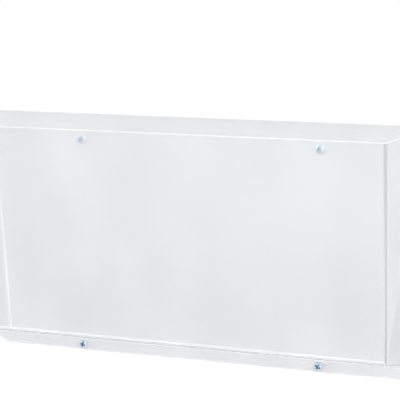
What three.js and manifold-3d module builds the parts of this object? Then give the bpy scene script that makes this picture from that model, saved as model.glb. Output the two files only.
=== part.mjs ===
// A clear wall pocket for literature, with the four screws and wall plugs that hold it up.
// Millimetres, +Z up. The wall is the plane y = 0, and the pocket hangs in front of it, towards -Y.
// The origin is the middle of the pocket's flat back.
import * as THREE from 'three';
import { mergeVertices } from 'three/addons/utils/BufferGeometryUtils.js';
import Module from 'manifold-3d';

const wasm = await Module();
wasm.setup();

// Pocket moulding: overall form
const FLOOR_WIDTH = 326; // across the front's bottom edge
const FLOOR_DEPTH = 44.2; // wall to the front's bottom edge
const FRONT_HEIGHT = 161; // front's bottom edge to its rim, measured upright
const FRONT_LEAN_DEG = 15.5;
const SIDE_TAPER_DEG = 4.8;
const FLOOR_FALL_DEG = 10.5; // the floor drops towards the wall
const RIM_RISE_DEG = 2.4; // the rim climbs towards the wall
const FLANGE_HEIGHT = 8.4; // the plate below the floor, at the wall

// Pocket moulding: walls and rounds
const WALL = 2.2;
const FLOOR_THICKNESS = 2.4;
const PLATE_THICKNESS = 2.6;
const CORNER_ROUND_LOW = 1.35; // outside, where the front meets a side, at the floor
const CORNER_ROUND_HIGH = 2.1; // the same at the rim
const INNER_CORNER_ROUND = 2;
const FLOOR_ROUND = 1; // inside, where a wall meets the floor or the plate
const EDGE_ROUND = 1.2; // outside, round the floor
const ROOT_ROUND = 1.5; // outside, where the pocket grows out of the plate
const RIM_ROUND_SHARE = 0.32; // of the wall, at each side of the rim
const FLANGE_CORNER_RADIUS = 15;
const PLATE_TOP_RADIUS = 2;
const PLATE_EDGE_ROUND = 0.4;

// Screw holes in the plate
const HOLE_SPACING = 193;
const HOLE_CLEARANCE = 0.25; // round the plug's mouth
const LOWER_WEB = 1.2; // plate left between a lower hole's mouth and the flange's edge
const UPPER_HOLE_DROP = 19; // below the plate's top edge

// Pan head screw
const SCREW_RADIUS = 1.75;
const SCREW_LENGTH = 25.4; // under the head
const SCREW_TIP_LENGTH = 4;
const HEAD_BEARING = 0.45; // how far the head reaches past its hole's mouth
const HEAD_SIDE_HEIGHT = 0.8;
const HEAD_CURL_HEIGHT = 0.8; // where the side bends over into the crown
const HEAD_CROWN_HEIGHT = 0.7;
const HEAD_CURL_SHARE = 0.28; // of the head's radius
const RECESS_SPAN = 4.2;
const RECESS_SLOT = 1.2;
const RECESS_DEPTH = 1.9;
const RECESS_FOOT_SHARE = 0.5; // the recess narrows to this share of its mouth

// Ribbed wall plug
const PLUG_WALL = 0.48;
const PLUG_RIB_DEPTH = 0.25;
const PLUG_RIB_PITCH = 2.6;
const PLUG_COLLAR_LENGTH = 3.4;
const PLUG_NOSE_LENGTH = 3;
const PLUG_NOSE_SHARE = 0.64; // of the plug's radius
const PLUG_TIP_HOLE_SHARE = 0.5; // of the nose's radius
const PLUG_SLIT = 0.6;
const PLUG_FIN_THICKNESS = 0.7;
const PLUG_FIN_HEIGHT = 0.8;
const PLUG_FIN_LENGTH = 9;

// Clearances
const SEAT_GAP = 0.05; // under a screw's head
const MOUTH_GAP = 0.3; // a plug's mouth behind the plate
const BORE_CLEARANCE = 0.12; // round a screw in its plug
const OVERRUN = 5; // how far every cutting body runs past what it cuts

// How finely round forms are divided
const CORNER_STEPS = 8;
const ROUND_STEPS = 4;
const SCREW_STEPS = 28;
const PLUG_STEPS = 24;
const HOLE_STEPS = 32;

const radians = THREE.MathUtils.degToRad;
const lean = Math.tan(radians(FRONT_LEAN_DEG));
const taper = Math.tan(radians(SIDE_TAPER_DEG));
const floorFall = Math.tan(radians(FLOOR_FALL_DEG));
const rimRise = Math.tan(radians(RIM_RISE_DEG));

// A wall's thickness grows by these when it is measured level instead of square to the wall
const levelFront = 1 / Math.cos(radians(FRONT_LEAN_DEG));
const levelSide = 1 / Math.cos(radians(SIDE_TAPER_DEG));

// Heights are over the front's bottom edge until the pocket is placed
const rimDepth = FLOOR_DEPTH + FRONT_HEIGHT * lean;
const backTop = FRONT_HEIGHT + rimDepth * rimRise;
const flangeBottom = -FLOOR_DEPTH * floorFall - FLANGE_HEIGHT;
const edgeLevel = -(backTop + flangeBottom) / 2;
const plateHalfWidth = FLOOR_WIDTH / 2 + backTop * taper;
const plateFront = -PLATE_THICKNESS;
const rimRound = WALL * RIM_ROUND_SHARE;

// The screw fits the plug, the plug's mouth fits the hole, and the head covers the hole
const plugBore = SCREW_RADIUS + BORE_CLEARANCE;
const plugRadius = plugBore + PLUG_WALL;
const holeRadius = plugRadius + HOLE_CLEARANCE;
const holeMouth = holeRadius + PLATE_EDGE_ROUND;
const headRadius = holeMouth + HEAD_BEARING;

// Closed three.js geometry to a solid for cutting and joining
function toSolid(geometry) {
  const bare = new THREE.BufferGeometry();
  bare.setAttribute('position', geometry.getAttribute('position'));
  bare.setIndex(geometry.getIndex());
  const merged = mergeVertices(bare);
  const places = merged.getAttribute('position');
  const corners = merged.getIndex().array;
  const faces = [];
  for (let i = 0; i < corners.length; i += 3) {
    const [a, b, c] = corners.subarray(i, i + 3);
    if (a !== b && b !== c && c !== a) faces.push([a, b, c]);
  }
  const point = (i) => new THREE.Vector3().fromBufferAttribute(places, i);
  const volume = faces.reduce((sum, [a, b, c]) => sum + point(a).dot(point(b).cross(point(c))), 0);
  const outward = volume > 0 ? faces : faces.map(([a, b, c]) => [a, c, b]);
  const vertProperties = new Float32Array(places.array);
  const triVerts = new Uint32Array(outward.flat());
  return new wasm.Manifold(new wasm.Mesh({ numProp: 3, vertProperties, triVerts }));
}

// A solid back to three.js geometry
function toGeometry(solid) {
  const { vertProperties, triVerts } = solid.getMesh();
  const geometry = new THREE.BufferGeometry();
  geometry.setAttribute('position', new THREE.BufferAttribute(vertProperties, 3));
  geometry.setIndex(new THREE.BufferAttribute(triVerts, 1));
  geometry.computeVertexNormals();
  return geometry;
}

// A closed body skinned over rings of points, all with the same count.
// flat gives a point's place in the plane that the two caps are divided in.
function loft(rings, flat) {
  const count = rings[0].length;
  const positions = rings.flat().flatMap((p) => [p.x, p.y, p.z]);
  const index = [];
  for (let k = 0; k + 1 < rings.length; k += 1) {
    for (let i = 0; i < count; i += 1) {
      const next = (i + 1) % count;
      const [a, b] = [k * count + i, k * count + next];
      const [c, d] = [a + count, b + count];
      index.push(a, b, d, a, d, c);
    }
  }
  const last = (rings.length - 1) * count;
  for (const [a, b, c] of THREE.ShapeUtils.triangulateShape(rings[0].map(flat), [])) {
    index.push(a, c, b);
  }
  for (const [a, b, c] of THREE.ShapeUtils.triangulateShape(rings.at(-1).map(flat), [])) {
    index.push(last + a, last + b, last + c);
  }
  const geometry = new THREE.BufferGeometry();
  geometry.setAttribute('position', new THREE.Float32BufferAttribute(positions, 3));
  geometry.setIndex(index);
  return geometry;
}

// Points on an arc, both ends included; angles in degrees
function arc(centreX, centreY, radiusX, radiusY, fromDeg, toDeg, steps) {
  return Array.from({ length: steps + 1 }, (_, i) => {
    const angle = radians(fromDeg + ((toDeg - fromDeg) * i) / steps);
    return new THREE.Vector2(centreX + radiusX * Math.cos(angle), centreY + radiusY * Math.sin(angle));
  });
}

// Sloping planes that the floor and the rim follow: the height over the front's bottom edge is
// level at the wall and changes by slope for each millimetre of y
const floorPlane = { level: -FLOOR_DEPTH * floorFall, slope: -floorFall };
const rimPlane = { level: backTop, slope: rimRise };
const raised = (plane, height) => ({ level: plane.level + height, slope: plane.slope });

// One ring of the pocket's wall on a sloping plane, drawn in square to the wall's outer faces by inset.
// corner is how far in from those faces the front corners' centres lie: a ring drawn in past them
// has sharp corners. back lists the ring's points behind the front corner.
function wallRing(plane, inset, corner, back) {
  const halfWidth = (z) => FLOOR_WIDTH / 2 + z * taper;
  const centre = Math.max(corner, inset);
  const radius = centre - inset;
  const round = arc(0, 0, radius * levelSide, radius * levelFront, -90, 0, CORNER_STEPS);
  const front = round.map((offset) => {
    const ahead = centre * levelFront + offset.y - FLOOR_DEPTH - lean * plane.level;
    const y = ahead / (1 + lean * plane.slope);
    const z = plane.level + plane.slope * y;
    return new THREE.Vector3(halfWidth(z) - centre * levelSide + offset.x, y, z);
  });
  const rear = back(inset).map(({ x, y }) => {
    const z = plane.level + plane.slope * y;
    return new THREE.Vector3(halfWidth(z) - inset * levelSide + x, y, z);
  });
  const half = [...front, ...rear];
  const mirrored = half.map((p) => new THREE.Vector3(-p.x, p.y, p.z)).reverse();
  return [...half, ...mirrored];
}

// The pocket's outside ends in a concave round that runs out into the plate
function rootEnd() {
  const round = arc(ROOT_ROUND, plateFront - ROOT_ROUND, ROOT_ROUND, ROOT_ROUND, 180, 90, ROUND_STEPS);
  return [...round, new THREE.Vector2(ROOT_ROUND, plateFront / 2)];
}

// Its inside ends in a small round against the plate's front
function cavityEnd(inset) {
  const drawn = Math.max(inset - WALL, 0);
  const y = plateFront - drawn;
  return arc(-FLOOR_ROUND, y - FLOOR_ROUND, FLOOR_ROUND, FLOOR_ROUND, 0, 90, ROUND_STEPS);
}

// Inset and height of a quarter round at step i, starting flat and ending along the wall
function quarterRound(radius, i) {
  const angle = radians((90 * i) / ROUND_STEPS);
  return { inset: radius * (1 - Math.sin(angle)), height: radius * (1 - Math.cos(angle)) };
}

const fromAbove = (p) => new THREE.Vector2(p.x, p.y);
const roundSteps = Array.from({ length: ROUND_STEPS + 1 }, (_, i) => i);

// Outside of the pocket, from its rounded lower edge to its rounded rim
function pocketOutside() {
  const lower = roundSteps.map((i) => {
    const { inset, height } = quarterRound(EDGE_ROUND, i);
    return wallRing(raised(floorPlane, height), inset, CORNER_ROUND_LOW, rootEnd);
  });
  const upper = roundSteps.map((i) => {
    const { inset, height } = quarterRound(rimRound, ROUND_STEPS - i);
    return wallRing(raised(rimPlane, -height), inset, CORNER_ROUND_HIGH, rootEnd);
  });
  return toSolid(loft([...lower, ...upper], fromAbove));
}

// Inside of the pocket, from its floor to a rounded lip that opens past the rim
function pocketInside() {
  const inner = raised(floorPlane, FLOOR_THICKNESS);
  const corner = WALL + INNER_CORNER_ROUND;
  const lower = roundSteps.map((i) => {
    const { inset, height } = quarterRound(FLOOR_ROUND, i);
    return wallRing(raised(inner, height), WALL + inset, corner, cavityEnd);
  });
  const lip = roundSteps.map((i) => {
    const { inset, height } = quarterRound(rimRound, ROUND_STEPS - i);
    return wallRing(raised(rimPlane, -height), WALL - inset, corner, cavityEnd);
  });
  const past = wallRing(raised(rimPlane, OVERRUN), WALL - rimRound, corner, cavityEnd);
  return toSolid(loft([...lower, ...lip, past], fromAbove));
}

// Screw hole centres in x and z
const holeCentres = {
  lower_left: [-HOLE_SPACING / 2, flangeBottom + LOWER_WEB + holeMouth],
  lower_right: [HOLE_SPACING / 2, flangeBottom + LOWER_WEB + holeMouth],
  upper_left: [-HOLE_SPACING / 2, backTop - UPPER_HOLE_DROP],
  upper_right: [HOLE_SPACING / 2, backTop - UPPER_HOLE_DROP],
};

// The flat plate at the back, with its edges eased
function backPlate() {
  const [left, right, low, high] = [-plateHalfWidth, plateHalfWidth, flangeBottom, backTop];
  const [lowRadius, topRadius] = [FLANGE_CORNER_RADIUS, PLATE_TOP_RADIUS];
  const outline = new THREE.Shape();
  outline.absarc(left + lowRadius, low + lowRadius, lowRadius, Math.PI, 1.5 * Math.PI);
  outline.absarc(right - lowRadius, low + lowRadius, lowRadius, -0.5 * Math.PI, 0);
  outline.absarc(right - topRadius, high - topRadius, topRadius, 0, 0.5 * Math.PI);
  outline.absarc(left + topRadius, high - topRadius, topRadius, 0.5 * Math.PI, Math.PI);
  const plate = new THREE.ExtrudeGeometry(outline, {
    depth: PLATE_THICKNESS - 2 * PLATE_EDGE_ROUND,
    bevelThickness: PLATE_EDGE_ROUND,
    bevelSize: PLATE_EDGE_ROUND,
    bevelOffset: -PLATE_EDGE_ROUND,
    bevelSegments: 2,
    curveSegments: CORNER_STEPS,
  });
  plate.translate(0, 0, PLATE_EDGE_ROUND).rotateX(Math.PI / 2);
  return toSolid(plate);
}

// What drills one screw hole along Y, with an eased edge at both faces of the plate
function holeCutter([x, z]) {
  const profile = [
    [0, plateFront - OVERRUN],
    [holeMouth, plateFront - OVERRUN],
    [holeMouth, plateFront],
    [holeRadius, plateFront + PLATE_EDGE_ROUND],
    [holeRadius, -PLATE_EDGE_ROUND],
    [holeMouth, 0],
    [holeMouth, OVERRUN],
    [0, OVERRUN],
  ];
  const points = profile.map(([radius, y]) => new THREE.Vector2(radius, y));
  return toSolid(new THREE.LatheGeometry(points, HOLE_STEPS).translate(x, 0, z));
}

// Round in the corner between the floor's underside and the flange
function floorRoot() {
  const under = (y) => floorPlane.level + floorPlane.slope * y;
  const fall = radians(FLOOR_FALL_DEG);
  const reach = ROOT_ROUND * Math.tan((Math.PI / 2 - fall) / 2);
  const cornerZ = under(plateFront);
  const centre = new THREE.Vector2(plateFront - ROOT_ROUND, cornerZ - reach);
  const tangent = plateFront - reach * Math.cos(fall);
  const profile = new THREE.Shape();
  profile.moveTo(plateFront / 2, cornerZ - reach);
  profile.absarc(centre.x, centre.y, ROOT_ROUND, 0, Math.PI / 2 - fall);
  profile.lineTo(tangent, under(tangent) + FLOOR_THICKNESS / 2);
  profile.lineTo(plateFront / 2, cornerZ + FLOOR_THICKNESS / 2);
  const length = FLOOR_WIDTH - 2 * (EDGE_ROUND + FLOOR_DEPTH * floorFall * taper);
  const along = { depth: length, bevelEnabled: false, curveSegments: ROUND_STEPS };
  const strip = new THREE.ExtrudeGeometry(profile, along);
  // The profile's x and y become y and z, and the strip runs along x
  const turn = new THREE.Matrix4().makeBasis(
    new THREE.Vector3(0, 1, 0),
    new THREE.Vector3(0, 0, 1),
    new THREE.Vector3(1, 0, 0),
  );
  strip.applyMatrix4(turn).translate(-length / 2, 0, 0);
  return toSolid(strip);
}

// A block between two corners
function block(low, high) {
  const size = new THREE.Vector3().subVectors(high, low);
  const middle = new THREE.Vector3().addVectors(low, high).multiplyScalar(0.5);
  return toSolid(new THREE.BoxGeometry(size.x, size.y, size.z).translate(middle.x, middle.y, middle.z));
}

// The whole moulding: the hollow pocket kept within the plate's width, the plate behind it, and its holes
function pocketMoulding() {
  const envelope = block(
    new THREE.Vector3(-plateHalfWidth, -rimDepth - OVERRUN, flangeBottom - OVERRUN),
    new THREE.Vector3(plateHalfWidth, 0, backTop + OVERRUN),
  );
  const shell = pocketOutside().subtract(pocketInside()).intersect(envelope);
  const undrilled = shell.add(backPlate()).add(floorRoot());
  const drill = (rest, centre) => rest.subtract(holeCutter(centre));
  return toGeometry(Object.values(holeCentres).reduce(drill, undrilled));
}

// A cross-shaped ring for the screw's recess, at a distance y and a share of its mouth's size
function recessRing(y, share) {
  const [arm, side] = [(RECESS_SPAN / 2) * share, (RECESS_SLOT / 2) * share];
  const quarter = [[arm, -side], [arm, side], [side, side]];
  const ring = [];
  for (let turn = 0; turn < 4; turn += 1) {
    for (const [u, v] of quarter) {
      const corner = new THREE.Vector2(u, v).rotateAround(new THREE.Vector2(), (turn * Math.PI) / 2);
      ring.push(new THREE.Vector3(corner.x, y, corner.y));
    }
  }
  return ring;
}

// A pan head screw along +Y, its head's underside at y = 0 and its recess facing -Y
function screwGeometry() {
  const curl = headRadius * HEAD_CURL_SHARE;
  const crownRadius = headRadius - curl;
  const curlTop = -HEAD_SIDE_HEIGHT - HEAD_CURL_HEIGHT;
  const headTop = curlTop - HEAD_CROWN_HEIGHT;
  const crown = arc(0, curlTop, crownRadius, HEAD_CROWN_HEIGHT, -90, 0, ROUND_STEPS);
  const bend = arc(crownRadius, -HEAD_SIDE_HEIGHT, curl, HEAD_CURL_HEIGHT, -90, 0, ROUND_STEPS);
  const profile = [
    ...crown.slice(0, -1),
    ...bend,
    new THREE.Vector2(headRadius, 0),
    new THREE.Vector2(SCREW_RADIUS, 0),
    new THREE.Vector2(SCREW_RADIUS, SCREW_LENGTH - SCREW_TIP_LENGTH),
    new THREE.Vector2(0, SCREW_LENGTH),
  ];
  profile[0].x = 0;
  const body = toSolid(new THREE.LatheGeometry(profile, SCREW_STEPS));
  const growth = 1 + (OVERRUN / RECESS_DEPTH) * (1 - RECESS_FOOT_SHARE);
  const mouth = recessRing(headTop - OVERRUN, growth);
  const foot = recessRing(headTop + RECESS_DEPTH, RECESS_FOOT_SHARE);
  const recess = loft([mouth, foot], (p) => new THREE.Vector2(p.x, p.z));
  return toGeometry(body.subtract(toSolid(recess)));
}

// A ribbed plug along +Y, its mouth at y = 0, split from its far end, with two fins that stop it turning
function plugGeometry() {
  const ribEnd = SCREW_LENGTH - PLATE_THICKNESS - SEAT_GAP;
  const length = ribEnd + PLUG_NOSE_LENGTH;
  const ribCount = Math.floor((ribEnd - PLUG_COLLAR_LENGTH) / PLUG_RIB_PITCH);
  const noseRadius = plugRadius * PLUG_NOSE_SHARE;
  const profile = [new THREE.Vector2(plugBore, 0), new THREE.Vector2(plugRadius, 0)];
  for (let i = 0; i < ribCount; i += 1) {
    const y = PLUG_COLLAR_LENGTH + i * PLUG_RIB_PITCH;
    profile.push(new THREE.Vector2(plugRadius, y), new THREE.Vector2(plugRadius - PLUG_RIB_DEPTH, y));
  }
  profile.push(
    new THREE.Vector2(plugRadius, PLUG_COLLAR_LENGTH + ribCount * PLUG_RIB_PITCH),
    new THREE.Vector2(noseRadius, length),
    new THREE.Vector2(noseRadius * PLUG_TIP_HOLE_SHARE, length),
    new THREE.Vector2(plugBore, ribEnd),
    new THREE.Vector2(plugBore, 0),
  );
  const tube = toSolid(new THREE.LatheGeometry(profile, PLUG_STEPS));
  const finReach = plugRadius + PLUG_FIN_HEIGHT;
  const finEnd = PLUG_COLLAR_LENGTH + PLUG_FIN_LENGTH;
  const fins = block(
    new THREE.Vector3(-finReach, PLUG_COLLAR_LENGTH, -PLUG_FIN_THICKNESS / 2),
    new THREE.Vector3(finReach, finEnd, PLUG_FIN_THICKNESS / 2),
  );
  const bore = new THREE.CylinderGeometry(plugBore, plugBore, length, PLUG_STEPS);
  bore.translate(0, length / 2, 0);
  const slit = block(
    new THREE.Vector3(-PLUG_SLIT / 2, PLUG_COLLAR_LENGTH + PLUG_RIB_PITCH, -plugRadius - OVERRUN),
    new THREE.Vector3(PLUG_SLIT / 2, length + OVERRUN, plugRadius + OVERRUN),
  );
  return toGeometry(tube.add(fins.subtract(toSolid(bore))).subtract(slit));
}

const clearPlastic = new THREE.MeshStandardMaterial({
  color: 0xe4e8ee,
  roughness: 0.12,
  metalness: 0,
  transparent: true,
  opacity: 0.35,
});
const zinc = new THREE.MeshStandardMaterial({ color: 0xa9bccb, roughness: 0.32, metalness: 1 });
const plugPlastic = new THREE.MeshStandardMaterial({ color: 0xcfcdc6, roughness: 0.55, metalness: 0 });

// A named piece at a place
function piece(name, geometry, material, x, y, z) {
  const mesh = new THREE.Mesh(geometry, material);
  mesh.name = name;
  mesh.position.set(x, y, z);
  return mesh;
}

const holder = new THREE.Group();
holder.add(piece('pocket', pocketMoulding(), clearPlastic, 0, 0, edgeLevel));

const screw = screwGeometry();
const plug = plugGeometry();
for (const [place, [x, z]] of Object.entries(holeCentres)) {
  holder.add(piece(`${place}_screw`, screw, zinc, x, plateFront - SEAT_GAP, z + edgeLevel));
  holder.add(piece(`${place}_plug`, plug, plugPlastic, x, MOUTH_GAP, z + edgeLevel));
}

export default holder;
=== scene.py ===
"""A clear wall pocket for literature with its screws and wall plugs, lit as in a plain studio.

Metres, +Z up. The wall would be the plane y = 0, and the pocket opens upwards in front of it, towards -Y.
"""

import math

import bmesh
import bpy
from mathutils import Matrix, Vector


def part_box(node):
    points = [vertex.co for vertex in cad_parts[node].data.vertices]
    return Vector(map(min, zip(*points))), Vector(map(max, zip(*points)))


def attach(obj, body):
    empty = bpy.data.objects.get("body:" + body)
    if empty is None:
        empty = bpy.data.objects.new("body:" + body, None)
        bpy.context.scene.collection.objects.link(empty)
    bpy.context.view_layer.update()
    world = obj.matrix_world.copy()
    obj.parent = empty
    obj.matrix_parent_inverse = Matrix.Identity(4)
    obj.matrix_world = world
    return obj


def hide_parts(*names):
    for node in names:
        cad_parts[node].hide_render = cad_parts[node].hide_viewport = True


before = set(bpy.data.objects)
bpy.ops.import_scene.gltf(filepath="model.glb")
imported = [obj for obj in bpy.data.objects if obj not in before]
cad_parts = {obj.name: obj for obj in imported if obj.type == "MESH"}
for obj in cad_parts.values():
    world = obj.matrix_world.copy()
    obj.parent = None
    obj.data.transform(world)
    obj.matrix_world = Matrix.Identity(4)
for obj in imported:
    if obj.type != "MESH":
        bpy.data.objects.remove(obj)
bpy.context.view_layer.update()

# Pocket moulding, with the sizes of its solid
FLOOR_DEPTH = 0.0442  # wall to the front's bottom edge
FRONT_LEAN = math.radians(15.5)
SIDE_TAPER = math.radians(4.8)
FLOOR_FALL = math.radians(10.5)  # the floor drops towards the wall
RIM_RISE = math.radians(2.4)  # the rim climbs towards the wall
WALL = 0.0022
FLOOR_THICKNESS = 0.0024
PLATE_THICKNESS = 0.0026
CORNER_ROUND_LOW = 0.00135  # outside, where the front meets a side, at the floor
CORNER_ROUND_HIGH = 0.0021  # the same at the rim
INNER_CORNER_ROUND = 0.002
FLOOR_ROUND = 0.001  # inside, where a wall meets the floor or the plate
EDGE_ROUND = 0.0012  # outside, round the floor
ROOT_ROUND = 0.0015  # outside, where the pocket grows out of the plate
RIM_ROUND = 0.0007
FLANGE_CORNER_RADIUS = 0.015
PLATE_TOP_RADIUS = 0.002
PLATE_EDGE_ROUND = 0.0004
HOLE_RADIUS = 0.0026
CUT_PAST = 0.005  # how far every cutting body runs past what it cuts

# Mark that the mould's gate leaves under the floor
GATE_DISC_RADIUS = 0.0032
GATE_DISC_HEIGHT = 0.0003
GATE_STUB_RADIUS = 0.0008
GATE_STUB_HEIGHT = 0.0007
GATE_STUB_END_SHARE = 0.8  # of the stub's radius, where it broke off
GATE_SINK = 0.0004  # how far the disc reaches into the floor

# Pan head screw
HEAD_SIDE_HEIGHT = 0.0008
HEAD_CURL_HEIGHT = 0.0008  # where the side bends over into the crown
HEAD_CROWN_HEIGHT = 0.0007
HEAD_CURL_SHARE = 0.28  # of the head's radius
HEAD_FOOT_ROUND = 0.00015
SHANK_RADIUS = 0.00175
SCREW_NECK = 0.0012  # bare shank under the head
SCREW_TIP_LENGTH = 0.004
SCREW_TIP_SHARE = 0.02  # of the thread's core, left at the very tip
THREAD_PITCH = 0.00141
THREAD_CORE_SHARE = 0.72  # of the shank's radius
THREAD_WIDTH_SHARE = 0.74  # of the pitch, across a ridge's foot
THREAD_CREST_SHARE = 0.2  # of a ridge's height, cut off by its flat crest
THREAD_RUN = 0.0011  # over which the thread rises at its start and dies away at its end
THREAD_SPARE_TURNS = 2  # past the tip's end, where their points fall together
RECESS_SPAN = 0.0042
RECESS_ARM_WIDTH = 0.0012
RECESS_DEPTH = 0.0019
RECESS_SPAN_FOOT_SHARE = 0.5  # of the span, at the recess's foot
RECESS_ARM_FOOT_SHARE = 0.6  # of an arm's width, at the recess's foot
RECESS_EDGE = 0.00004  # how deep under the crown the recess's painted shade starts

# Ribbed wall plug
SHANK_CLEARANCE = 0.00012  # round a screw in its plug
PLUG_RIB_DEPTH = 0.00025
PLUG_RIB_PITCH = 0.0026
PLUG_COLLAR_LENGTH = 0.0034
PLUG_NOSE_LENGTH = 0.003
PLUG_NOSE_SHARE = 0.64  # of the plug's radius
PLUG_TIP_HOLE_SHARE = 0.5  # of the nose's radius
PLUG_SLIT = 0.0006
PLUG_FIN_THICKNESS = 0.0007
PLUG_FIN_LENGTH = 0.009
PLUG_LIP_ROUND = 0.00016
PLUG_CREST_SHARE = 0.5  # of the lip's round, taken off a rib's crest
PLUG_STEP_SHARE = 0.25  # of the lip's round, from a rib's crest to the foot of its step

# Turn of each screw's recess
SCREW_TURNS = {
    "lower_left": math.radians(18),
    "lower_right": math.radians(28),
    "upper_left": math.radians(12),
    "upper_right": math.radians(64),
}

# How finely round forms are divided
CORNER_STEPS = 16
ROUND_STEPS = 8
HOLE_STEPS = 64
SCREW_STEPS = 48
THREAD_ROWS = 10
PLUG_STEPS = 48

# What counts as one point, as a smooth edge and as a flat face
MERGE_DISTANCE = 1e-7
SMOOTH_ANGLE = math.radians(32)
FLAT_ANGLE = math.radians(2)

# Where the strip of painted shade lies on a front corner's round, counted from straight ahead
STRIP_START = math.radians(7)
STRIP_END = math.radians(63)

# Noise textures: scale, detail, roughness, and factors on the scale along x, y and z
CLOUDS = (22, 3, 0.5, (1, 1, 0.5))
SCUFFS = (900, 2, 0.6, (1, 1, 0.08))
ZINC_CRYSTALS = (2600, 3, 0.6, (1, 1, 1))
ZINC_MARKS = (5200, 2, 0.5, (1, 0.1, 1))
NYLON_STAIN = (320, 2, 0.5, (1, 1, 1))
NYLON_GRAIN = (3800, 3, 0.6, (1, 1, 1))
NOISE_LOW = 0.35  # most of a noise texture's values lie between these two
NOISE_HIGH = 0.65

# Bumps: depth and strength
SCUFF_BUMP = (0.00001, 0.1)
ZINC_BUMP = (0.00002, 0.35)
NYLON_BUMP = (0.00004, 0.3)

# The pocket's finishes in the order of its slots, clear plastic and then painted shade, painted highlight
# and partly painted shade: clearness, two colours, and least and most roughness
POCKET_FINISHES = {
    # clear plastic; its grey tint is partly painted shade, of a wall in the pocket's shadow seen through
    # it
    "clear_plastic": (0.86, ((0.855, 0.86, 0.87), (0.89, 0.895, 0.905)), (0.035, 0.09)),
    # painted shade: a darker, nearly opaque strip on the front corners, standing in for the band that
    # light piped through the corner makes
    "corner_strip_painted_shade": (0.1, ((0.492, 0.498, 0.503), (0.532, 0.538, 0.543)), (0.035, 0.09)),
    # painted highlight: pale, nearly opaque rounds, rims and hole edges standing in for the bright lines
    # that reflection and refraction draw along clear edges
    "edges_painted_highlight": (0.12, ((0.82, 0.825, 0.83), (0.86, 0.865, 0.87)), (0.035, 0.09)),
    # frosted rear face; its grey is partly painted shade, of a wall in the pocket's shadow seen through
    # the flange
    "frosted_back_painted_shade": (0.6, ((0.665, 0.665, 0.67), (0.705, 0.705, 0.71)), (0.5, 0.6)),
}
WALL_SLOT, CORNER_SLOT, EDGE_SLOT, BACK_SLOT = range(len(POCKET_FINISHES))
PLASTIC_IOR = 1.5
LAMP_LIGHT_PASSED = (0.94, 0.94, 0.945, 1)  # colour of the lamp light that gets through a face

# A screw's finishes in the order of its slots, plated zinc and the recess's painted shade: two colours
SCREW_FINISHES = {
    "bright_zinc": ((0.46, 0.56, 0.65), (0.72, 0.8, 0.87)),
    # painted shade: darker zinc in the cross recess, where little light reaches
    "recess_zinc_painted_shade": ((0.25, 0.41, 0.51), (0.39, 0.55, 0.66)),
}
PLATED_SLOT, RECESS_SLOT = range(len(SCREW_FINISHES))
ZINC_ROUGHNESS = (0.2, 0.38)

# A plug's finish
NYLON_COLOURS = ((0.72, 0.71, 0.67), (0.8, 0.79, 0.76))
NYLON_ROUGHNESS = (0.45, 0.62)

# A mix node's colour sockets, by number because its other sockets share their names
MIX_FIRST = 6
MIX_SECOND = 7
MIX_RESULT = 2

# Camera, with its lens and sensor in millimetres
CAMERA_PLACE = (0.5891, -1.2618, 0.20701)
CAMERA_AZIMUTH = math.radians(25.01)
CAMERA_ELEVATION = math.radians(7.26)
CAMERA_LENS = 171
SENSOR_WIDTH = 36
VIEW_START = 0.01  # nearest that the camera shows
VIEW_END = 100  # furthest that it shows

# Studio
FLOOR_LEVEL = -1.0
FLOOR_SIZE = 60
FLOOR_COLOUR = (0.9, 0.9, 0.9, 1)
FLOOR_ROUGHNESS = 0.9
FLOOR_SHINE = 0.2
FLOOR_GLOW = 1.09
FLOOR_GLOW_SHARE = 0.85  # the rest is the lit floor with its shadow
WORLD_LIGHT = (0.96, 0.98, 1, 1)
WORLD_STRENGTH = 0.62
WHITE = (1, 1, 1, 1)

# Square lamps, all aimed at the origin: place, length of a side, power in watts, and colour
LAMPS = {
    "key": ((1.55, -1.75, 1.05), 1.2, 36, (1, 1, 1)),
    "fill": ((-1.8, -1.2, 0.9), 1.4, 14, (0.96, 0.98, 1)),
    "low": ((-0.3, -1.4, -0.8), 1.2, 1.5, (1, 1, 1)),
    "rear": ((0.5, 1.3, 1.9), 1.2, 14, (1, 1, 1)),
}


# Meshes

def make_object(name, points, faces):
    """A linked object with a closed mesh, its doubled points merged and its faces pointing out."""
    mesh = bpy.data.meshes.new(name)
    mesh.from_pydata([tuple(p) for p in points], [], faces)
    work = bmesh.new()
    work.from_mesh(mesh)
    bmesh.ops.remove_doubles(work, verts=work.verts, dist=MERGE_DISTANCE)
    bmesh.ops.recalc_face_normals(work, faces=work.faces)
    work.to_mesh(mesh)
    work.free()
    obj = bpy.data.objects.new(name, mesh)
    bpy.context.scene.collection.objects.link(obj)
    return obj


def apply_modifiers(obj):
    """The object's mesh becomes what its modifiers make of it."""
    graph = bpy.context.evaluated_depsgraph_get()
    made = bpy.data.meshes.new_from_object(obj.evaluated_get(graph))
    old = obj.data
    name = old.name
    obj.modifiers.clear()
    obj.data = made
    bpy.data.meshes.remove(old)
    made.name = name


def combine(obj, other, operation):
    """Joins other to obj, or cuts it out of obj or down to it, and removes other."""
    modifier = obj.modifiers.new("combine", "BOOLEAN")
    modifier.operation = operation
    modifier.solver = "MANIFOLD"
    modifier.object = other
    apply_modifiers(obj)
    bpy.data.meshes.remove(other.data)


def smooth(obj):
    """Smooth shading across the rounds, with the large flat faces kept flat."""
    for face in obj.data.polygons:
        face.use_smooth = True
    obj.data.set_sharp_from_angle(angle=SMOOTH_ANGLE)
    modifier = obj.modifiers.new("normals", "WEIGHTED_NORMAL")
    modifier.mode = "FACE_AREA"
    modifier.keep_sharp = True
    apply_modifiers(obj)


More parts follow.
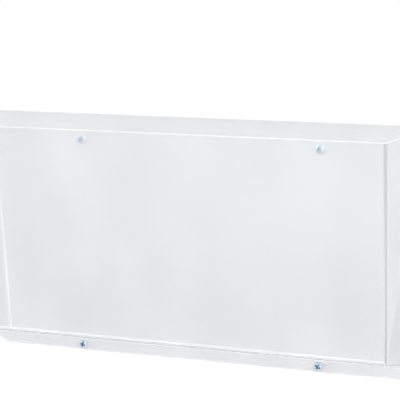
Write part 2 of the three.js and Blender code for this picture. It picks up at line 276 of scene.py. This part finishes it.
def loft(rings):
    """Points and faces of a closed body skinned over rings, which all have the same count of points."""
    count = len(rings[0])
    points = [point for ring in rings for point in ring]
    faces = []
    for k in range(len(rings) - 1):
        for i in range(count):
            a = k * count + i
            b = k * count + (i + 1) % count
            faces.append((a, b, b + count, a + count))
    return points, faces + end_faces(points, count)


def end_faces(points, count):
    """The two faces that close a skinned body at its first and last rings."""
    first = tuple(reversed(range(count)))
    last = tuple(range(len(points) - count, len(points)))
    return [first, last]


def arc(centre, radius, start, end, steps):
    """Points on an arc, both ends included. radius is (across, up), and angles are in degrees."""
    points = []
    for i in range(steps + 1):
        angle = math.radians(start + (end - start) * i / steps)
        across = centre[0] + radius[0] * math.cos(angle)
        up = centre[1] + radius[1] * math.sin(angle)
        points.append((across, up))
    return points


def quarter_round(radius):
    """Insets and heights along a quarter round, starting flat and ending along the wall."""
    angles = [math.radians(90 * i / ROUND_STEPS) for i in range(ROUND_STEPS + 1)]
    return [(radius * (1 - math.sin(angle)), radius * (1 - math.cos(angle))) for angle in angles]


def circle(radius, y, steps, centre=(0, 0, 0)):
    """A ring of points round an axis along Y."""
    angles = [2 * math.pi * i / steps for i in range(steps)]
    return [Vector((radius * math.cos(a), y, radius * math.sin(a))) + Vector(centre) for a in angles]


def lathe(profile, steps, centre=(0, 0, 0)):
    """Points and faces of a body turned about an axis along Y. profile lists (radius, y) along it."""
    return loft([circle(radius, y, steps, centre) for radius, y in profile])


def block(name, low, high):
    """A rectangular body between two corners."""
    ring = [(low[0], low[1]), (high[0], low[1]), (high[0], high[1]), (low[0], high[1])]
    points, faces = loft([[(x, y, z) for x, y in ring] for z in (low[2], high[2])])
    return make_object(name, points, faces)


def middle_of(node):
    """A solid's middle in x and z."""
    low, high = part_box(node)
    return (low.x + high.x) / 2, (low.z + high.z) / 2


# The pocket's walls

pocket_low, pocket_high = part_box("pocket")
lean = math.tan(FRONT_LEAN)
taper = math.tan(SIDE_TAPER)
fall = math.tan(FLOOR_FALL)
rise = math.tan(RIM_RISE)
back_top = pocket_high.z
flange_bottom = pocket_low.z
rim_depth = -pocket_low.y
edge_level = back_top - rim_depth * rise - (rim_depth - FLOOR_DEPTH) / lean
plate_front = -PLATE_THICKNESS

# A wall's thickness grows by these when it is measured level instead of square to the wall
level_front = 1 / math.cos(FRONT_LEAN)
level_side = 1 / math.cos(SIDE_TAPER)


def half_width(z):
    """Half the pocket's outside width at a height."""
    return pocket_high.x - (back_top - z) * taper


def floor_underside(y):
    """The height of the floor's underside at a distance y."""
    return edge_level - (FLOOR_DEPTH + y) * fall


def wall_ring(level, slope, inset, corner, back):
    """One ring of the pocket's wall on a sloping plane whose height is level + slope * y.

    It is drawn in square to the outer faces by inset. corner is how far in from them the front corners'
    centres lie. back lists the ring's points behind the front corner, as offsets (x, y).
    """
    centre = max(corner, inset)
    radius = centre - inset
    half = []
    for across, ahead in arc((0, 0), (radius * level_side, radius * level_front), -90, 0, CORNER_STEPS):
        y = centre * level_front + ahead - FLOOR_DEPTH - lean * (level - edge_level)
        y /= 1 + lean * slope
        z = level + slope * y
        half.append(Vector((half_width(z) - centre * level_side + across, y, z)))
    for across, y in back:
        z = level + slope * y
        half.append(Vector((half_width(z) - inset * level_side + across, y, z)))
    return half + [Vector((-p.x, p.y, p.z)) for p in reversed(half)]


def outside_ring(level, slope, inset, corner):
    """One ring of the outside, which ends in a concave round that runs out into the plate."""
    centre = (ROOT_ROUND, plate_front - ROOT_ROUND)
    back = arc(centre, (ROOT_ROUND, ROOT_ROUND), 180, 90, ROUND_STEPS)
    back.append((ROOT_ROUND, plate_front / 2))
    return wall_ring(level, slope, inset, corner, back)


def inside_ring(level, slope, inset):
    """One ring of the inside, which ends in a small round against the plate's front."""
    y = plate_front - max(inset - WALL, 0)
    back = arc((-FLOOR_ROUND, y - FLOOR_ROUND), (FLOOR_ROUND, FLOOR_ROUND), 0, 90, ROUND_STEPS)
    return wall_ring(level, slope, inset, WALL + INNER_CORNER_ROUND, back)


def pocket_outside():
    """The pocket's outside, closed at the floor and at the rim."""
    rings = []
    for inset, height in quarter_round(EDGE_ROUND):
        rings.append(outside_ring(floor_underside(0) + height, -fall, inset, CORNER_ROUND_LOW))
    for inset, height in reversed(quarter_round(RIM_ROUND)):
        rings.append(outside_ring(back_top - height, rise, inset, CORNER_ROUND_HIGH))
    return make_object("clear_pocket", *loft(rings))


def pocket_inside():
    """What hollows the pocket out, from the floor to past the rounded lip."""
    floor_level = floor_underside(0) + FLOOR_THICKNESS
    rings = []
    for inset, height in quarter_round(FLOOR_ROUND):
        rings.append(inside_ring(floor_level + height, -fall, WALL + inset))
    for inset, height in reversed(quarter_round(RIM_ROUND)):
        rings.append(inside_ring(back_top - height, rise, WALL - inset))
    rings.append(inside_ring(back_top + CUT_PAST, rise, WALL - RIM_ROUND))
    return make_object("inside", *loft(rings))


def plate_ring(y, inset):
    """The back plate's outline at a distance y, drawn in by inset."""
    right = []
    for radius, centre_z, start in (
        (FLANGE_CORNER_RADIUS, flange_bottom + FLANGE_CORNER_RADIUS, -90),
        (PLATE_TOP_RADIUS, back_top - PLATE_TOP_RADIUS, 0),
    ):
        centre = (pocket_high.x - radius, centre_z)
        right += arc(centre, (radius - inset, radius - inset), start, start + 90, CORNER_STEPS)
    outline = right + [(-x, z) for x, z in reversed(right)]
    return [Vector((x, y, z)) for x, z in outline]


def back_plate():
    """The flat plate that lies on the wall, with rounded edges."""
    edge = quarter_round(PLATE_EDGE_ROUND)
    rings = [plate_ring(-depth, inset) for inset, depth in edge]
    rings += [plate_ring(plate_front + depth, inset) for inset, depth in reversed(edge)]
    return make_object("plate", *loft(rings))


def hole_cutter(x, z):
    """What drills one screw hole, with a rounded lip at both faces of the plate."""
    mouth = HOLE_RADIUS + PLATE_EDGE_ROUND
    edge = quarter_round(PLATE_EDGE_ROUND)
    profile = [(mouth, plate_front - CUT_PAST)]
    profile += [(HOLE_RADIUS + inset, plate_front + depth) for inset, depth in edge]
    profile += [(HOLE_RADIUS + inset, -depth) for inset, depth in reversed(edge)]
    profile.append((mouth, CUT_PAST))
    return make_object("drill", *lathe(profile, HOLE_STEPS, (x, 0, z)))


def floor_root():
    """The round in the corner between the floor's underside and the flange."""
    reach = ROOT_ROUND * math.tan((math.pi / 2 - FLOOR_FALL) / 2)
    corner_z = floor_underside(plate_front)
    tangent = plate_front - reach * math.cos(FLOOR_FALL)
    centre = (plate_front - ROOT_ROUND, corner_z - reach)
    profile = [(plate_front / 2, corner_z - reach)]
    profile += arc(centre, (ROOT_ROUND, ROOT_ROUND), 0, 90 - math.degrees(FLOOR_FALL), ROUND_STEPS)
    profile.append((tangent, floor_underside(tangent) + FLOOR_THICKNESS / 2))
    profile.append((plate_front / 2, corner_z + FLOOR_THICKNESS / 2))
    half_length = half_width(corner_z) - EDGE_ROUND
    rings = [[Vector((x, y, z)) for y, z in profile] for x in (-half_length, half_length)]
    return make_object("root", *loft(rings))


def gate_mark():
    """The disc and the broken stub of the gate, standing out of the floor's underside."""
    profile = [
        (GATE_DISC_RADIUS, GATE_SINK),
        (GATE_DISC_RADIUS, -GATE_DISC_HEIGHT / 2),
        (GATE_DISC_RADIUS - GATE_DISC_HEIGHT / 2, -GATE_DISC_HEIGHT),
        (GATE_STUB_RADIUS, -GATE_DISC_HEIGHT),
        (GATE_STUB_RADIUS * GATE_STUB_END_SHARE, -GATE_STUB_HEIGHT),
    ]
    points, faces = lathe(profile, HOLE_STEPS)
    y = (plate_front - FLOOR_DEPTH) / 2
    place = Vector((0, y, floor_underside(y)))
    turn = Matrix.Rotation(math.pi / 2 - FLOOR_FALL, 3, "X")
    return make_object("gate", [turn @ Vector(p) + place for p in points], faces)


def pocket_moulding(holes):
    """The whole clear moulding in one piece. holes lists the screw holes' middles in x and z."""
    body = pocket_outside()
    combine(body, pocket_inside(), "DIFFERENCE")
    low = Vector((-pocket_high.x, pocket_low.y - CUT_PAST, flange_bottom - CUT_PAST))
    high = Vector((pocket_high.x, 0, back_top + CUT_PAST))
    combine(body, block("envelope", low, high), "INTERSECT")
    combine(body, back_plate(), "UNION")
    combine(body, floor_root(), "UNION")
    combine(body, gate_mark(), "UNION")
    for x, z in holes:
        combine(body, hole_cutter(x, z), "DIFFERENCE")
    smooth(body)
    return body


# Which faces of the pocket have which finish, and which carry painted shade or painted highlight

def is_round(normal):
    """Whether a face lies along none of the plate, the front, the sides and the floor."""
    flats = [(0, 1, 0), (0, 1, lean), (1, 0, -taper), (-1, 0, -taper), (0, fall, 1)]
    nearest = max(abs(normal.dot(Vector(flat).normalized())) for flat in flats)
    return nearest < math.cos(FLAT_ANGLE)


def is_front_corner(normal, place):
    """Whether a round face runs up one of the corners between the front and a side."""
    lines = [(taper, -lean, 1), (-taper, -lean, 1)]
    along = min(abs(normal.dot(Vector(line).normalized())) for line in lines)
    return along < math.sin(FLAT_ANGLE) and place.y < -FLOOR_DEPTH / 2


def finish_slot(normal, place):
    """The material slot of a face of the pocket, by its normal and its middle."""
    if not is_round(normal):
        # the plate's rear face is frosted, with partly painted shade
        return BACK_SLOT if place.y > -MERGE_DISTANCE else WALL_SLOT
    if is_front_corner(normal, place):
        outward = normal.dot(place - Vector((0, -FLOOR_DEPTH / 2, 0))) > 0
        turn = math.atan2(abs(normal.x), -normal.y)
        # the outer strip of a front corner gets painted shade
        return CORNER_SLOT if outward and STRIP_START < turn < STRIP_END else WALL_SLOT
    in_flange = place.y > plate_front - MERGE_DISTANCE and place.z < edge_level
    # other rounds get the painted edge highlight, those of the flange stay clear
    return WALL_SLOT if in_flange else EDGE_SLOT


def mark_surfaces(body):
    """Gives a finish to every face of the pocket, some of them painted shade or a painted highlight.

    The plate's back is frosted, and its grey is partly painted shade. The front corners have darker milky
    strips of painted shade outside and are clear inside. All other rounds, rims and hole edges are pale
    and milky, a painted highlight, but those of the flange are as clear as the walls.
    """
    for face in body.data.polygons:
        face.material_index = finish_slot(face.normal, face.center)


# Screws. A screw is made along +Y, with its head's underside at 0

curl_top = -HEAD_SIDE_HEIGHT - HEAD_CURL_HEIGHT
head_top = curl_top - HEAD_CROWN_HEIGHT
thread_core = SHANK_RADIUS * THREAD_CORE_SHARE


def head_profile(radius):
    """The screw head from its middle to its foot under the head, as (radius, y)."""
    curl = radius * HEAD_CURL_SHARE
    crown = radius - curl
    profile = arc((0, curl_top), (crown, HEAD_CROWN_HEIGHT), -90, 0, ROUND_STEPS)[:-1]
    profile += arc((crown, -HEAD_SIDE_HEIGHT), (curl, HEAD_CURL_HEIGHT), -90, 0, ROUND_STEPS)
    rounded = (radius - HEAD_FOOT_ROUND, -HEAD_FOOT_ROUND)
    profile += arc(rounded, (HEAD_FOOT_ROUND, HEAD_FOOT_ROUND), 0, 90, ROUND_STEPS // 2)
    profile.append((thread_core, 0))
    return profile


def thread_radius(y, share, length):
    """Radius of the threaded shank at a place along it and at a share of the thread's pitch."""
    ridge = max(0, 1 - abs(2 * share - 1) / THREAD_WIDTH_SHARE) / (1 - THREAD_CREST_SHARE)
    run_in = min(1, (y - SCREW_NECK) / THREAD_RUN)
    run_out = min(1, (length - y) / THREAD_RUN)
    slim = SCREW_TIP_SHARE + (1 - SCREW_TIP_SHARE) * min(1, (length - y) / SCREW_TIP_LENGTH)
    return (thread_core + (SHANK_RADIUS - thread_core) * min(1, ridge) * run_in * run_out) * slim


def thread_rows(length):
    """Rows of points round the threaded shank, each winding along it by one pitch in its turn."""
    turns = int((length - SCREW_NECK) / THREAD_PITCH + THREAD_SPARE_TURNS)
    rows = []
    for k in range(-THREAD_ROWS, turns * THREAD_ROWS):
        row = []
        for i in range(SCREW_STEPS):
            y = SCREW_NECK + THREAD_PITCH * (k / THREAD_ROWS + i / SCREW_STEPS)
            y = min(max(y, SCREW_NECK), length)
            radius = thread_radius(y, (k % THREAD_ROWS) / THREAD_ROWS, length)
            angle = 2 * math.pi * i / SCREW_STEPS
            row.append(Vector((radius * math.cos(angle), y, radius * math.sin(angle))))
        rows.append(row)
    return rows


def screw_skin(head, rows):
    """Points and faces over the head's closed rings and the thread's rows.

    The last point of a row joins the row that lies one pitch further on.
    """
    count = SCREW_STEPS
    points = [point for ring in head + rows for point in ring]
    faces = []
    for k in range(len(head) + len(rows) - 1):
        for i in range(count):
            a = k * count + i
            b = k * count + (i + 1) % count
            if k >= len(head) and i == count - 1:
                b += THREAD_ROWS * count
            if b + count < len(points):
                faces.append((a, b, b + count, a + count))
    return points, faces + end_faces(points, count)


def cross_ring(y, span, width):
    """A cross-shaped ring of twelve points, by the span and the width of its arms."""
    arm, side = span / 2, width / 2
    ring = []
    for quarter in range(4):
        turn = Matrix.Rotation(-math.pi / 2 * quarter, 3, "Y")
        for x, z in ((arm, -side), (arm, side), (side, side)):
            ring.append(turn @ Vector((x, y, z)))
    return ring


def recess_cutter():
    """The cross recess, narrowing towards its foot."""
    foot = head_top + RECESS_DEPTH
    grow = 1 + CUT_PAST / RECESS_DEPTH * (1 - RECESS_ARM_FOOT_SHARE)
    rings = [
        cross_ring(head_top - CUT_PAST, RECESS_SPAN * grow, RECESS_ARM_WIDTH * grow),
        cross_ring(head_top + HEAD_CROWN_HEIGHT / 2, RECESS_SPAN, RECESS_ARM_WIDTH),
        cross_ring(foot, RECESS_SPAN * RECESS_SPAN_FOOT_SHARE, RECESS_ARM_WIDTH * RECESS_ARM_FOOT_SHARE),
    ]
    return make_object("recess", *loft(rings))


def below_crown(point, head_radius):
    """Whether a point of the head lies under the curve of its crown, so in the recess."""
    crown = head_radius * (1 - HEAD_CURL_SHARE)
    out = math.hypot(point.x, point.z) / crown
    if out >= 1 or point.y > curl_top + RECESS_DEPTH:
        return False
    return point.y > curl_top - HEAD_CROWN_HEIGHT * math.sqrt(1 - out * out) + RECESS_EDGE


def screw_body(name, node, turn):
    """A pan head screw with a cross recess and a tapping thread, in the place of its solid.

    Also tells of each of its faces whether it lies in the recess.
    """
    low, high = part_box(node)
    x, z = middle_of(node)
    head_radius = (high.x - low.x) / 2
    place = Vector((x, low.y - head_top, z))
    head = [circle(radius, y, SCREW_STEPS) for radius, y in head_profile(head_radius)]
    body = make_object(name, *screw_skin(head, thread_rows(high.y - place.y)))
    combine(body, recess_cutter(), "DIFFERENCE")
    smooth(body)
    in_recess = [below_crown(face.center, head_radius) for face in body.data.polygons]
    body.data.transform(Matrix.Rotation(turn, 4, "Y"))
    body.data.transform(Matrix.Translation(place))
    return body, in_recess


# Plugs. A plug is made along +Y, with its mouth at 0

def plug_profile(radius, length):
    """The plug's outside from its lip over its ribs to its nose, as (radius, y)."""
    rounded = (radius - PLUG_LIP_ROUND, PLUG_LIP_ROUND)
    profile = arc(rounded, (PLUG_LIP_ROUND, PLUG_LIP_ROUND), -90, 0, ROUND_STEPS)
    ribs = int((length - PLUG_NOSE_LENGTH - PLUG_COLLAR_LENGTH) / PLUG_RIB_PITCH)
    for i in range(ribs):
        y = PLUG_COLLAR_LENGTH + i * PLUG_RIB_PITCH
        profile.append((radius, y - PLUG_LIP_ROUND))
        profile.append((radius - PLUG_LIP_ROUND * PLUG_CREST_SHARE, y))
        profile.append((radius - PLUG_RIB_DEPTH, y + PLUG_LIP_ROUND * PLUG_STEP_SHARE))
    nose = radius * PLUG_NOSE_SHARE
    profile.append((radius, PLUG_COLLAR_LENGTH + ribs * PLUG_RIB_PITCH))
    profile.append((nose + PLUG_LIP_ROUND, length - PLUG_LIP_ROUND))
    profile.append((nose, length))
    return profile


def plug_fins(radius, reach):
    """Both fins as one flat body through the plug, each slanted towards its mouth."""
    slant_end = PLUG_COLLAR_LENGTH + reach - radius
    fin_end = PLUG_COLLAR_LENGTH + PLUG_FIN_LENGTH
    outline = [
        (-reach, slant_end),
        (-radius, PLUG_COLLAR_LENGTH),
        (radius, PLUG_COLLAR_LENGTH),
        (reach, slant_end),
        (reach, fin_end),
        (-reach, fin_end),
    ]
    half = PLUG_FIN_THICKNESS / 2
    rings = [[Vector((x, y, z)) for x, y in outline] for z in (-half, half)]
    return make_object("fins", *loft(rings))


def plug_bore(radius, length):
    """What bores the plug, narrowing in its nose."""
    bore = SHANK_RADIUS + SHANK_CLEARANCE
    tip = radius * PLUG_NOSE_SHARE * PLUG_TIP_HOLE_SHARE
    profile = [
        (bore, -CUT_PAST),
        (bore, length - PLUG_NOSE_LENGTH),
        (tip, length),
        (tip, length + CUT_PAST),
    ]
    return make_object("bore", *lathe(profile, PLUG_STEPS))


def plug_body(name, node):
    """A ribbed wall plug with two fins and a slit end, in the place of its solid."""
    low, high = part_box(node)
    x, z = middle_of(node)
    radius = (high.z - low.z) / 2
    length = high.y - low.y
    body = make_object(name, *lathe(plug_profile(radius, length), PLUG_STEPS))
    combine(body, plug_fins(radius, (high.x - low.x) / 2), "UNION")
    combine(body, plug_bore(radius, length), "DIFFERENCE")
    slit_low = (-PLUG_SLIT / 2, PLUG_COLLAR_LENGTH + PLUG_RIB_PITCH, -radius - CUT_PAST)
    slit_high = (PLUG_SLIT / 2, length + CUT_PAST, radius + CUT_PAST)
    combine(body, block("slit", slit_low, slit_high), "DIFFERENCE")
    body.data.transform(Matrix.Translation((x, low.y, z)))
    smooth(body)
    return body


# Materials

def new_material(name):
    """A material, its node tree and its main shader."""
    material = bpy.data.materials.new(name)
    material.use_nodes = True
    tree = material.node_tree
    return material, tree, tree.nodes["Principled BSDF"]


def add_noise(tree, scale, detail, roughness, factors):
    """A noise texture in the object's own coordinates. factors change its scale along x, y and z."""
    place = tree.nodes.new("ShaderNodeTexCoord")
    mapping = tree.nodes.new("ShaderNodeMapping")
    mapping.inputs["Scale"].default_value = factors
    noise = tree.nodes.new("ShaderNodeTexNoise")
    noise.inputs["Scale"].default_value = scale
    noise.inputs["Detail"].default_value = detail
    noise.inputs["Roughness"].default_value = roughness
    tree.links.new(place.outputs["Object"], mapping.inputs["Vector"])
    tree.links.new(mapping.outputs["Vector"], noise.inputs["Vector"])
    return noise.outputs["Fac"]


def add_range(tree, noise, low, high):
    """A noise texture's middle values spread over a range."""
    node = tree.nodes.new("ShaderNodeMapRange")
    node.inputs["From Min"].default_value = NOISE_LOW
    node.inputs["From Max"].default_value = NOISE_HIGH
    node.inputs["To Min"].default_value = low
    node.inputs["To Max"].default_value = high
    tree.links.new(noise, node.inputs["Value"])
    return node.outputs["Result"]


def add_colour(tree, noise, first, second):
    """A colour that runs between two colours with a noise texture."""
    node = tree.nodes.new("ShaderNodeMix")
    node.data_type = "RGBA"
    tree.links.new(add_range(tree, noise, 0, 1), node.inputs["Factor"])
    node.inputs[MIX_FIRST].default_value = (*first, 1)
    node.inputs[MIX_SECOND].default_value = (*second, 1)
    return node.outputs[MIX_RESULT]


def add_bump(tree, noise, depth, strength):
    """A bump that follows a noise texture."""
    node = tree.nodes.new("ShaderNodeBump")
    node.inputs["Distance"].default_value = depth
    node.inputs["Strength"].default_value = strength
    tree.links.new(noise, node.inputs["Height"])
    return node.outputs["Normal"]


def mix_shaders(tree, share, first, second, output="Material Output"):
    """Sends a mix of two shaders to the tree's output."""
    mix = tree.nodes.new("ShaderNodeMixShader")
    tree.links.new(share, mix.inputs["Fac"])
    tree.links.new(first.outputs[0], mix.inputs[1])
    tree.links.new(second.outputs[0], mix.inputs[2])
    tree.links.new(mix.outputs[0], tree.nodes[output].inputs["Surface"])


def textured(name, stain, grain, colours, roughness, bump):
    """A material whose colour follows one noise, and whose roughness and bump follow another."""
    material, tree, shader = new_material(name)
    coarse = add_noise(tree, *stain)
    fine = add_noise(tree, *grain)
    tree.links.new(add_colour(tree, coarse, *colours), shader.inputs["Base Color"])
    tree.links.new(add_range(tree, fine, *roughness), shader.inputs["Roughness"])
    tree.links.new(add_bump(tree, fine, *bump), shader.inputs["Normal"])
    return material, tree, shader


def clear_plastic(name, clearness, colours, roughness):
    """Slightly milky plastic with faint flow clouds and scuffs. It lets lamps light what is behind it.
    With other colours and clearness it also makes the pocket's painted shade and painted highlight.
    """
    material, tree, shader = textured(name, CLOUDS, SCUFFS, colours, roughness, SCUFF_BUMP)
    shader.inputs["IOR"].default_value = PLASTIC_IOR
    shader.inputs["Transmission Weight"].default_value = clearness
    path = tree.nodes.new("ShaderNodeLightPath")
    passing = tree.nodes.new("ShaderNodeBsdfTransparent")
    passing.inputs["Color"].default_value = LAMP_LIGHT_PASSED
    mix_shaders(tree, path.outputs["Is Shadow Ray"], shader, passing)
    return material


def zinc(name, colours):
    """Bright zinc plate: small crystals, a bluish cast and fine tool marks. With darker colours it is the
    painted shade in the cross recess.
    """
    material, _, shader = textured(name, ZINC_CRYSTALS, ZINC_MARKS, colours, ZINC_ROUGHNESS, ZINC_BUMP)
    shader.inputs["Metallic"].default_value = 1
    return material


def nylon(name):
    """Matt nylon with faint stains and a fine moulded grain."""
    material, _, _ = textured(name, NYLON_STAIN, NYLON_GRAIN, NYLON_COLOURS, NYLON_ROUGHNESS, NYLON_BUMP)
    return material


# The object

def dress(obj, node, materials):
    """Puts a piece in the place of a solid and gives it its materials."""
    obj.data.materials.clear()
    for material in materials:
        obj.data.materials.append(material)
    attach(obj, "root")
    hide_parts(node)


plastics = [clear_plastic(name, *finish) for name, finish in POCKET_FINISHES.items()]
screw_metals = [zinc(name, colours) for name, colours in SCREW_FINISHES.items()]
plug_plastics = [nylon("plug_nylon")]

pocket = pocket_moulding([middle_of(f"{corner}_screw") for corner in SCREW_TURNS])
dress(pocket, "pocket", plastics)
mark_surfaces(pocket)

for corner, turn in SCREW_TURNS.items():
    screw, in_recess = screw_body(f"{corner}_zinc_screw", f"{corner}_screw", turn)
    dress(screw, f"{corner}_screw", screw_metals)
    # the recess's faces get the painted shade
    for face, is_inside in zip(screw.data.polygons, in_recess):
        face.material_index = RECESS_SLOT if is_inside else PLATED_SLOT
    plug = plug_body(f"{corner}_ribbed_plug", f"{corner}_plug")
    dress(plug, f"{corner}_plug", plug_plastics)


# Studio

def add_camera():
    """The camera at the photograph's viewing angle."""
    data = bpy.data.cameras.new("camera")
    data.lens = CAMERA_LENS
    data.sensor_width = SENSOR_WIDTH
    data.clip_start = VIEW_START
    data.clip_end = VIEW_END
    camera = bpy.data.objects.new("camera", data)
    camera.location = CAMERA_PLACE
    camera.rotation_euler = (math.pi / 2 - CAMERA_ELEVATION, 0, CAMERA_AZIMUTH)
    bpy.context.scene.collection.objects.link(camera)
    bpy.context.scene.camera = camera


def add_lamp(name, place, side, power, colour):
    """A soft square lamp that shines at the origin."""
    data = bpy.data.lights.new(name, "AREA")
    data.shape = "SQUARE"
    data.size = side
    data.energy = power
    data.color = colour
    lamp = bpy.data.objects.new(name, data)
    lamp.location = place
    lamp.rotation_euler = (-Vector(place)).to_track_quat("-Z", "Y").to_euler()
    bpy.context.scene.collection.objects.link(lamp)


def sees_background(tree):
    """1 for rays that show the background: the camera's own, mirrored ones and those through glass."""
    path = tree.nodes.new("ShaderNodeLightPath")
    seen = path.outputs["Is Camera Ray"]
    for kind in ("Is Glossy Ray", "Is Transmission Ray"):
        either = tree.nodes.new("ShaderNodeMath")
        either.operation = "MAXIMUM"
        tree.links.new(seen, either.inputs[0])
        tree.links.new(path.outputs[kind], either.inputs[1])
        seen = either.outputs[0]
    return seen


def add_world():
    """White where it is seen, and a plain soft light elsewhere."""
    world = bpy.data.worlds.new("studio")
    world.use_nodes = True
    tree = world.node_tree
    light = tree.nodes["Background"]
    light.inputs["Color"].default_value = WORLD_LIGHT
    light.inputs["Strength"].default_value = WORLD_STRENGTH
    white = tree.nodes.new("ShaderNodeBackground")
    white.inputs["Color"].default_value = WHITE
    mix_shaders(tree, sees_background(tree), light, white, "World Output")
    bpy.context.scene.world = world


def floor_material():
    """A pale matt floor that glows where it is seen."""
    material, tree, shader = new_material("studio_floor")
    shader.inputs["Base Color"].default_value = FLOOR_COLOUR
    shader.inputs["Roughness"].default_value = FLOOR_ROUGHNESS
    shader.inputs["Specular IOR Level"].default_value = FLOOR_SHINE
    glow = tree.nodes.new("ShaderNodeEmission")
    glow.inputs["Strength"].default_value = FLOOR_GLOW
    share = tree.nodes.new("ShaderNodeMath")
    share.operation = "MULTIPLY"
    share.inputs[1].default_value = FLOOR_GLOW_SHARE
    tree.links.new(sees_background(tree), share.inputs[0])
    mix_shaders(tree, share.outputs[0], shader, glow)
    return material


def add_floor():
    """A floor far below the pocket, which keeps its shadow."""
    half = FLOOR_SIZE / 2
    corners = [(-half, -half), (half, -half), (half, half), (-half, half)]
    mesh = bpy.data.meshes.new("studio_floor")
    mesh.from_pydata([(x, y, FLOOR_LEVEL) for x, y in corners], [], [(0, 1, 2, 3)])
    mesh.materials.append(floor_material())
    floor = bpy.data.objects.new("studio_floor", mesh)
    bpy.context.scene.collection.objects.link(floor)


add_camera()
add_world()
add_floor()
for name, lamp in LAMPS.items():
    add_lamp(name, *lamp)
bpy.context.scene.view_settings.view_transform = "Standard"
